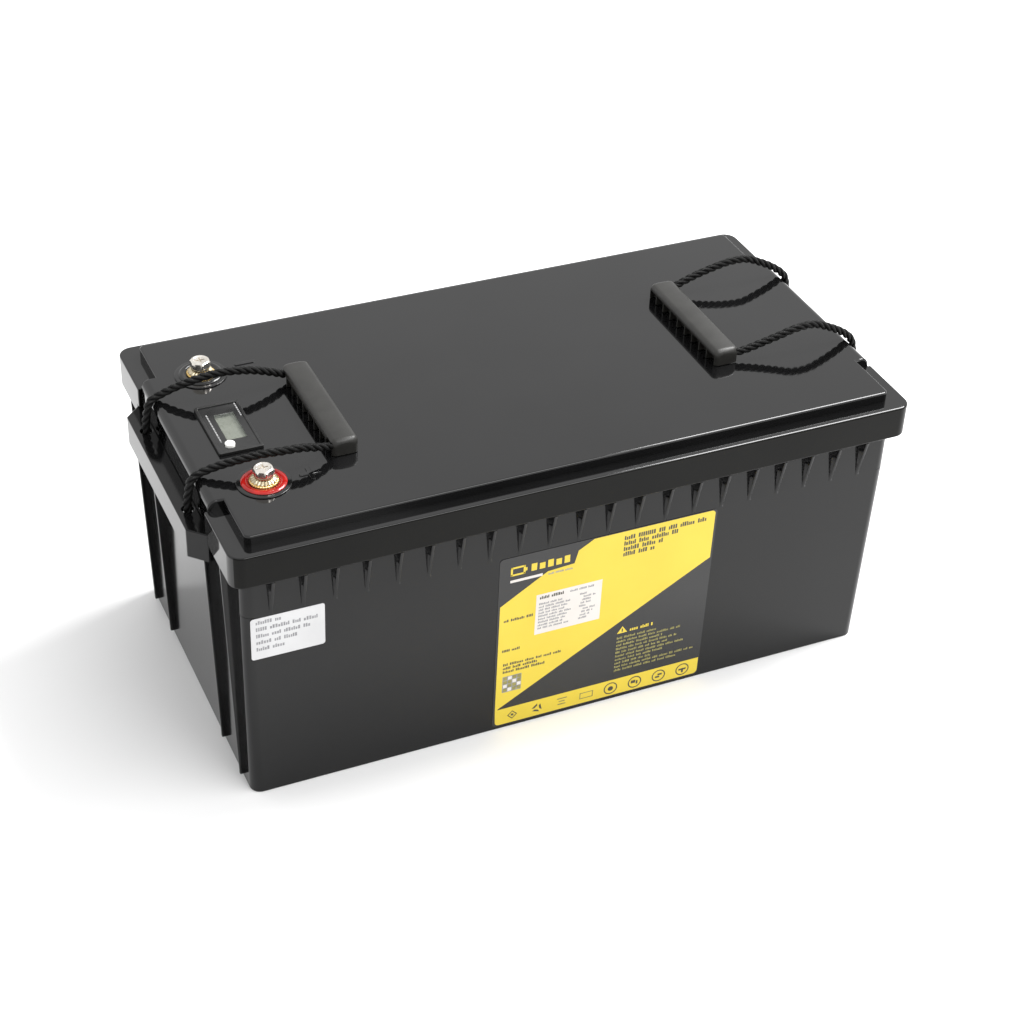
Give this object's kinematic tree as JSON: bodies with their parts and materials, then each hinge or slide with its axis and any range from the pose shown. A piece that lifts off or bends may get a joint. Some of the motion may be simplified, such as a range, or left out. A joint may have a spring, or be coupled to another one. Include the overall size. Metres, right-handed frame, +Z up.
{
  "type": "deep cycle battery",
  "caption": "Boxed leisure battery with a ribbed glossy case, stepped lid, two rope handles with moulded grips, two bolt-down terminals and a top charge meter.",
  "frame": {"origin": "middle of the case's base, on the surface that it stands on", "axes": "+X along the case, away from the terminals and the meter; -Y is the labelled front; +Z up"},
  "size_m": [0.522, 0.268, 0.2413],
  "materials": {
    "case_plastic": "glossy",
    "lid_plastic": "high gloss",
    "seal_rubber": "matte",
    "grip_plastic": "satin",
    "rope": "twisted polypropylene",
    "collar_plastic": "satin",
    "red_ring": "glossy",
    "black_ring": "glossy",
    "brass": "bright",
    "plated_steel": "plated",
    "bolt_steel": "plated",
    "bezel_plastic": "satin",
    "clear_lens": "clear",
    "display": "grey-green",
    "button": "satin",
    "green_board": "solder mask",
    "blue_board": "solder mask",
    "grey_wire": "satin",
    "front_label": "printed film",
    "side_label": "printed film",
    "cell_wrap": "film",
    "spacer_board": "epoxy board",
    "aluminium": "mill",
    "band_steel": "brushed",
    "foam": "closed-cell foam",
    "red_cable": "satin",
    "black_cable": "satin",
    "copper": "tinned copper"
  },
  "bodies": {
    "case": {"container": "case_plastic", "lid": "lid_plastic", "lid_seal": "seal_rubber", "left_rope_tails": "rope", "right_rope_tails": "rope", "positive_collar": "collar_plastic", "positive_ring": "red_ring", "positive_insert": "brass", "negative_collar": "collar_plastic", "negative_ring": "black_ring", "negative_insert": "brass", "insert_o_rings": "seal_rubber", "meter_bezel": "bezel_plastic", "meter_window": "clear_lens", "meter_display": "display", "meter_board": "green_board", "meter_switch": "bezel_plastic", "meter_lead": "grey_wire", "front_label": "front_label", "side_label": "side_label", "cell_1": "cell_wrap", "cell_2": "cell_wrap", "cell_3": "cell_wrap", "cell_4": "cell_wrap", "cell_spacers": "spacer_board", "end_plates": "aluminium", "compression_bands": "band_steel", "busbars": "aluminium", "base_pad": "foam", "foam_blocks": "foam", "bms_board": "blue_board", "bms_heatsink": "aluminium", "bms_standoffs": "brass", "bms_screws": "band_steel", "bms_connector": "button", "positive_cable": "red_cable", "negative_cable": "black_cable", "pack_negative_cable": "black_cable", "cable_lugs": "copper", "balance_leads": "grey_wire", "temperature_probe": "seal_rubber"},
    "left_handle": {"left_grip": "grip_plastic", "left_rope": "rope"},
    "right_handle": {"right_grip": "grip_plastic", "right_rope": "rope"},
    "meter_button": {"meter_button": "button"},
    "positive_washers": {"positive_flat_washer": "plated_steel", "positive_spring_washer": "plated_steel"},
    "positive_bolt": {"positive_bolt": "bolt_steel"},
    "negative_washers": {"negative_flat_washer": "plated_steel", "negative_spring_washer": "plated_steel"},
    "negative_bolt": {"negative_bolt": "bolt_steel"}
  },
  "joints": [
    {"name": "left_handle_swing", "type": "hinge", "parent": "case", "child": "left_handle", "pos_m": [-0.24625, 0, 0.22223], "axis": [0, -1, 0], "range_deg": [0, 100]},
    {"name": "right_handle_swing", "type": "hinge", "parent": "case", "child": "right_handle", "pos_m": [0.24973, 0, 0.21875], "axis": [0, 1, 0], "range_deg": [0, 100]},
    {"name": "meter_button_press", "type": "slide", "parent": "case", "child": "meter_button", "axis": [0, 0, -1], "range_m": [0, 0.001], "stiffness_N_per_m": 400},
    {"name": "positive_bolt_lift", "type": "slide", "parent": "case", "child": "positive_washers", "axis": [0, 0, 1], "range_m": [0, 0.01374]},
    {"name": "positive_bolt_turn", "type": "hinge", "parent": "positive_washers", "child": "positive_bolt", "pos_m": [-0.2065, -0.0695, 0.228], "axis": [0, 0, 1], "range_deg": [0, 3960]},
    {"name": "negative_bolt_lift", "type": "slide", "parent": "case", "child": "negative_washers", "axis": [0, 0, 1], "range_m": [0, 0.01374]},
    {"name": "negative_bolt_turn", "type": "hinge", "parent": "negative_washers", "child": "negative_bolt", "pos_m": [-0.2065, 0.0695, 0.228], "axis": [0, 0, 1], "range_deg": [0, 3960]}
  ],
  "couplings": [
    {"joint": "positive_bolt_turn", "follows": "positive_bolt_lift", "rad_per_m": 5026.5},
    {"joint": "negative_bolt_turn", "follows": "negative_bolt_lift", "rad_per_m": 5026.5}
  ]
}
